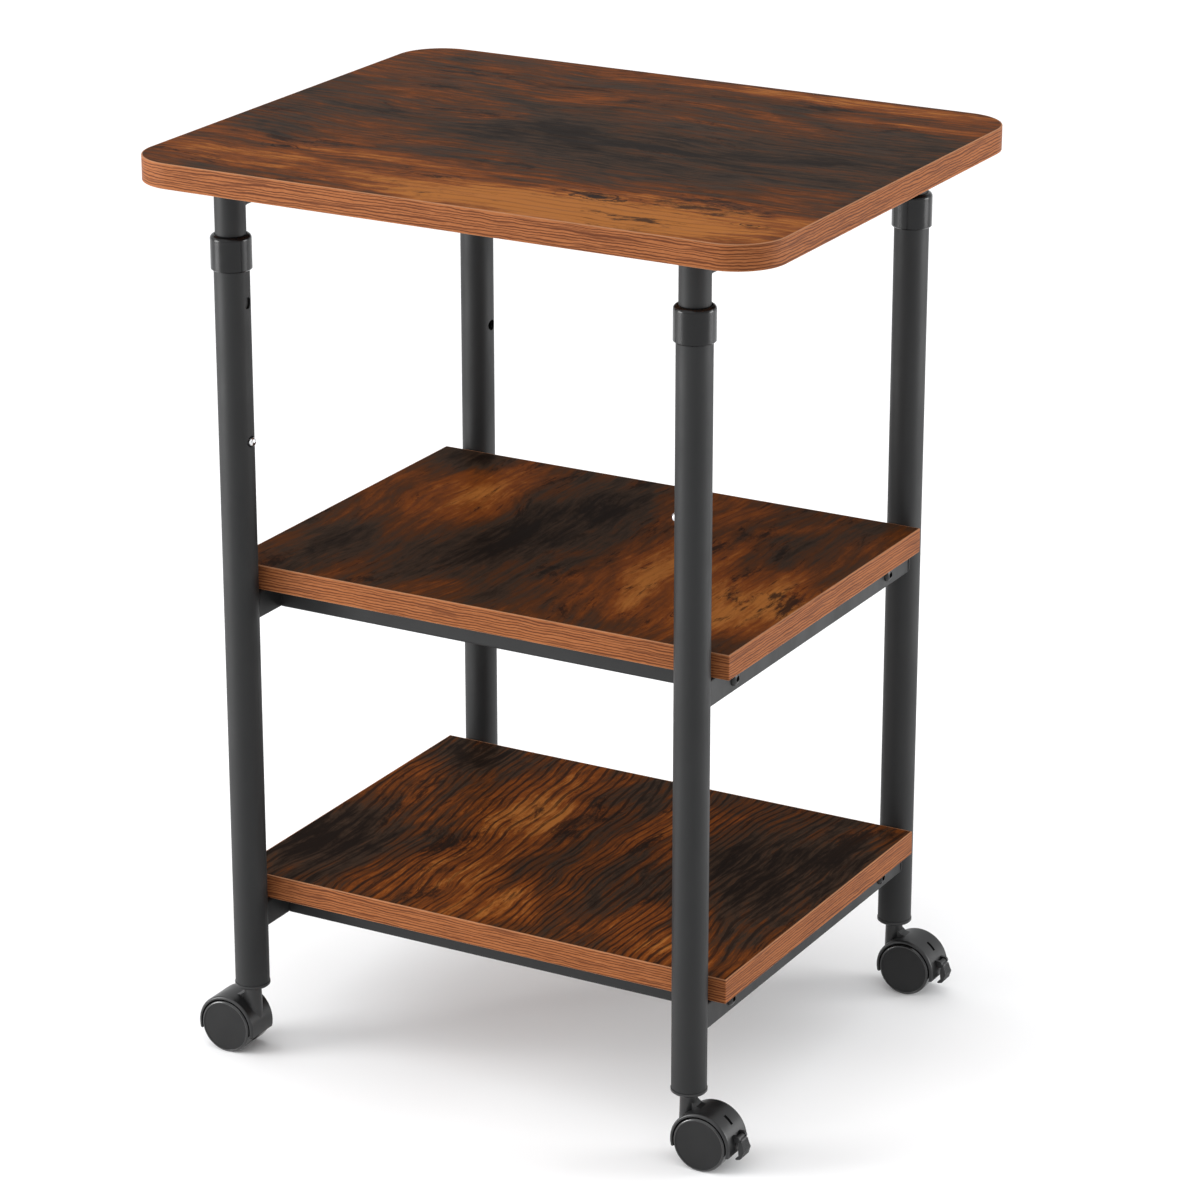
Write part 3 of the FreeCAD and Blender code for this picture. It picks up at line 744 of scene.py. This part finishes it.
class STAND_OT_brake_levers(Operator):
    """Shape the two brake levers, with a knurled foot pad"""

    bl_idname = "stand.brake_levers"
    bl_label = "Brake Levers"

    # The pad's outline about the pivot, (outwards, upwards) in millimetres
    PAD = (
        (1.0, 0.8),
        (3.0, -0.4),
        (5.8, -7.6),
        (4.0, -13.2),
        (2.6, -14.8),
        (-0.6, -15.6),
        (-1.2, -14.6),
        (1.4, -12.6),
        (1.0, -6.5),
    )
    # The line that the knurl follows down the pad
    TREAD = ((3.25, -1.0), (5.7, -7.5), (4.1, -13.0))
    # The pivot: outwards from the leg's middle, and above the floor
    PIVOT = (40.2, 26.2)
    # The pad is as narrow as its barrel down to this far below the pivot
    EAR_ROOM = 3.1
    # Radius and half length of the barrel between the ears, and of the stub in them
    BARREL = (1.9, 3.4)
    STUB = (1.2, 5.7)
    # The least angle of an edge that is eased, in degrees
    SHARP = 25
    # The knurl: its grid, its share of the pad's width and how steep and sunk its edge is
    ROWS = 90
    COLUMNS = 70
    KNURL_SHARE = 0.86
    STEEP = 1.6
    EDGE_SHARE = 0.4
    SUNK = 0.35

    def knurl(self, bm, sizes, pivot):
        """A fine grid over the pad's outer face, raised into small diamonds."""
        top, bend, foot = (pivot + Vector((x * MM, 0, z * MM)) for x, z in self.TREAD)
        upper, lower = (bend - top).length, (foot - bend).length
        half = sizes.pad_half * self.KNURL_SHARE
        pitch = sizes.knurl_pitch
        grid = []
        for r in range(self.ROWS + 1):
            down = (upper + lower) * r / self.ROWS
            if down <= upper:
                start, stop, share = top, bend, down / upper
            else:
                start, stop, share = bend, foot, (down - upper) / lower
            spot = start.lerp(stop, share)
            way = (stop - start).normalized()
            normal = Vector((-way.z, 0, way.x))
            line = []
            for c in range(self.COLUMNS + 1):
                y = half * (2 * c / self.COLUMNS - 1)
                ridges = [abs(((down + side * y) / pitch) % 1.0 - 0.5) * 2 for side in (1, -1)]
                rise = min(1.0, self.STEEP * min(ridges))
                edge = min(down, upper + lower - down, half - abs(y)) / (self.EDGE_SHARE * pitch)
                rise = rise * min(1.0, edge) - self.SUNK * (edge < 0.01)
                out = normal * sizes.knurl_depth * rise
                line.append(bm.verts.new(spot + Vector((0, y, 0)) + out))
            grid.append(line)
        for a, b in zip(grid, grid[1:]):
            for c in range(self.COLUMNS):
                bm.faces.new((a[c], a[c + 1], b[c + 1], b[c]))

    def pad(self, bm, sizes, pivot):
        """The sloping pad and its shoe, narrowed beside the ears, in a mesh that is still empty."""
        neck = self.BARREL[1] * MM
        near, far = (
            [bm.verts.new(pivot + Vector((x * MM, y, z * MM))) for x, z in self.PAD]
            for y in (-sizes.pad_half, sizes.pad_half)
        )
        bm.faces.new(near)
        bm.faces.new(far)
        for i in range(len(self.PAD)):
            bm.faces.new((near[i - 1], near[i], far[i], far[i - 1]))
        for vert in near + far:
            if vert.co.z > pivot.z - self.EAR_ROOM * MM:
                vert.co.y = math.copysign(neck, vert.co.y - pivot.y) + pivot.y
        # Ease the edges
        bmesh.ops.recalc_face_normals(bm, faces=bm.faces)
        sharp = [e for e in bm.edges if e.calc_face_angle(0.0) > math.radians(self.SHARP)]
        bmesh.ops.bevel(
            bm, geom=sharp, offset=sizes.pad_edge, segments=3, profile=0.5, affect="EDGES"
        )

    def execute(self, context):
        sizes = context.scene.stand_sizes
        tints = context.scene.stand_colours
        plastic = moulded("lever_plastic", tints.hood_black, 0.4, 1500)
        for corner in BRAKED:
            side, end = CORNERS[corner]
            across, up = self.PIVOT
            pivot = Vector((side * (LEG[0] + across), end * LEG[1], up)) * MM
            bm = bmesh.new()
            self.pad(bm, sizes, pivot)
            self.knurl(bm, sizes, pivot)
            for radius, half in (self.BARREL, self.STUB):
                profile = [(0, -half * MM), (radius * MM, -half * MM)]
                profile += [(radius * MM, half * MM), (0, half * MM)]
                lathe(bm, profile, pivot, Vector((0, 1, 0)), 32, closed=False)
            name = "brake_lever_" + corner
            finished(bm, name + "_shaped", "brake_" + corner, plastic, (name,))
        return {"FINISHED"}


class STAND_OT_stage(Operator):
    """Set up the floor, the soft studio lights and the camera"""

    bl_idname = "stand.stage"
    bl_label = "Stage"

    FLOOR_HALF = 14.0
    # The sky's strength at the horizon and overhead, and the height where it stops dimming
    HORIZON = 1.02
    OVERHEAD = 0.70
    DIMMED_AT = 0.4
    # Kind, name, place, power and settings of each light
    LIGHTS = (
        ("SUN", "daylight", (-1.3, -1.5, 3.4), 1.55, {"angle": math.radians(110)}),
        ("AREA", "side_box", (2.0, 1.0, 0.6), 28.0, {"size": 1.0}),
        ("AREA", "front_box", (-1.8, -1.5, 0.6), 42.0, {"size": 1.0}),
    )
    LIGHTS_FACE = (0.0, 0.0, 0.3)
    CAMERA_AT = (1.4494, -2.5765, 1.4001)
    CAMERA_DOWN = 19.916
    CAMERA_TURN = 29.056
    FOCAL_LENGTH = 131.0

    def floor(self, scene, tint):
        """A wide matt floor at the foot of the casters."""
        bm = bmesh.new()
        bmesh.ops.create_grid(bm, x_segments=1, y_segments=1, size=self.FLOOR_HALF)
        mesh = bpy.data.meshes.new("floor")
        bm.to_mesh(mesh)
        bm.free()
        paint = Finish("studio_floor", tint, 0.9, Specular_IOR_Level=0.1)
        cloud = paint.noise(paint.scaled(paint.place(), (3, 3, 3)), 2.0)
        paler = tuple(min(1.0, c * 1.02) for c in tint)
        mesh.materials.append(paint.wire(paint.mix(cloud, tuple(tint), paler)))
        floor = bpy.data.objects.new("floor", mesh)
        scene.collection.objects.link(floor)

    def sky(self, scene):
        """A soft sky, white at the horizon and dimmer overhead."""
        world = bpy.data.worlds.new("studio")
        world.use_nodes = True
        tree = world.node_tree
        sky = tree.nodes["Background"]
        sky.inputs["Color"].default_value = (0.98, 0.99, 1.0, 1.0)
        way = tree.nodes.new("ShaderNodeTexCoord").outputs["Generated"]
        split = tree.nodes.new("ShaderNodeSeparateXYZ")
        level = tree.nodes.new("ShaderNodeMapRange")
        level.inputs["From Max"].default_value = self.DIMMED_AT
        level.inputs["To Min"].default_value = self.HORIZON
        level.inputs["To Max"].default_value = self.OVERHEAD
        tree.links.new(way, split.inputs["Vector"])
        tree.links.new(split.outputs["Z"], level.inputs["Value"])
        tree.links.new(level.outputs["Result"], sky.inputs["Strength"])
        scene.world = world
        scene.view_settings.view_transform = "Standard"

    def lights(self, scene):
        """A broad daylight and two softboxes that face the middle of the stand."""
        for kind, name, spot, power, settings in self.LIGHTS:
            data = bpy.data.lights.new(name, kind)
            data.energy = power
            for key, value in settings.items():
                setattr(data, key, value)
            lamp = bpy.data.objects.new(name, data)
            lamp.location = spot
            aim = Vector(self.LIGHTS_FACE) - Vector(spot)
            lamp.rotation_euler = aim.to_track_quat("-Z", "Y").to_euler()
            scene.collection.objects.link(lamp)

    def camera(self, scene):
        """A camera in front of the stand, to its right and looking down on it."""
        data = bpy.data.cameras.new("camera")
        data.sensor_width = 36.0
        data.lens = self.FOCAL_LENGTH
        data.clip_end = 100.0
        camera = bpy.data.objects.new("camera", data)
        camera.location = self.CAMERA_AT
        tilt, turn = math.radians(90 - self.CAMERA_DOWN), math.radians(self.CAMERA_TURN)
        camera.rotation_euler = (tilt, 0.0, turn)
        scene.collection.objects.link(camera)
        scene.camera = camera

    def execute(self, context):
        scene = context.scene
        self.floor(scene, scene.stand_colours.floor)
        self.sky(scene)
        self.lights(scene)
        self.camera(scene)
        return {"FINISHED"}


class STAND_PT_panel(Panel):
    """Lists the stand's operators and settings"""

    bl_idname = "STAND_PT_panel"
    bl_label = "Printer Stand"
    bl_space_type = "VIEW_3D"
    bl_region_type = "UI"
    bl_category = "Stand"

    def draw(self, context):
        for step in STEPS:
            self.layout.operator(step.bl_idname)
        for group in (context.scene.stand_sizes, context.scene.stand_colours):
            box = self.layout.box()
            for key in group.__annotations__:
                box.prop(group, key)


STEPS = (
    STAND_OT_boards,
    STAND_OT_edge_bands,
    STAND_OT_legs,
    STAND_OT_rails,
    STAND_OT_height_locks,
    STAND_OT_caster_hoods,
    STAND_OT_caster_wheels,
    STAND_OT_brake_levers,
    STAND_OT_stage,
)
CLASSES = (StandSizes, StandColours, *STEPS, STAND_PT_panel)


def register():
    for item in CLASSES:
        bpy.utils.register_class(item)
    bpy.types.Scene.stand_sizes = PointerProperty(type=StandSizes)
    bpy.types.Scene.stand_colours = PointerProperty(type=StandColours)


def unregister():
    del bpy.types.Scene.stand_colours
    del bpy.types.Scene.stand_sizes
    for item in reversed(CLASSES):
        bpy.utils.unregister_class(item)


def main():
    register()
    for step in STEPS:
        group, name = step.bl_idname.split(".")
        getattr(getattr(bpy.ops, group), name)()


if __name__ == "__main__":
    main()
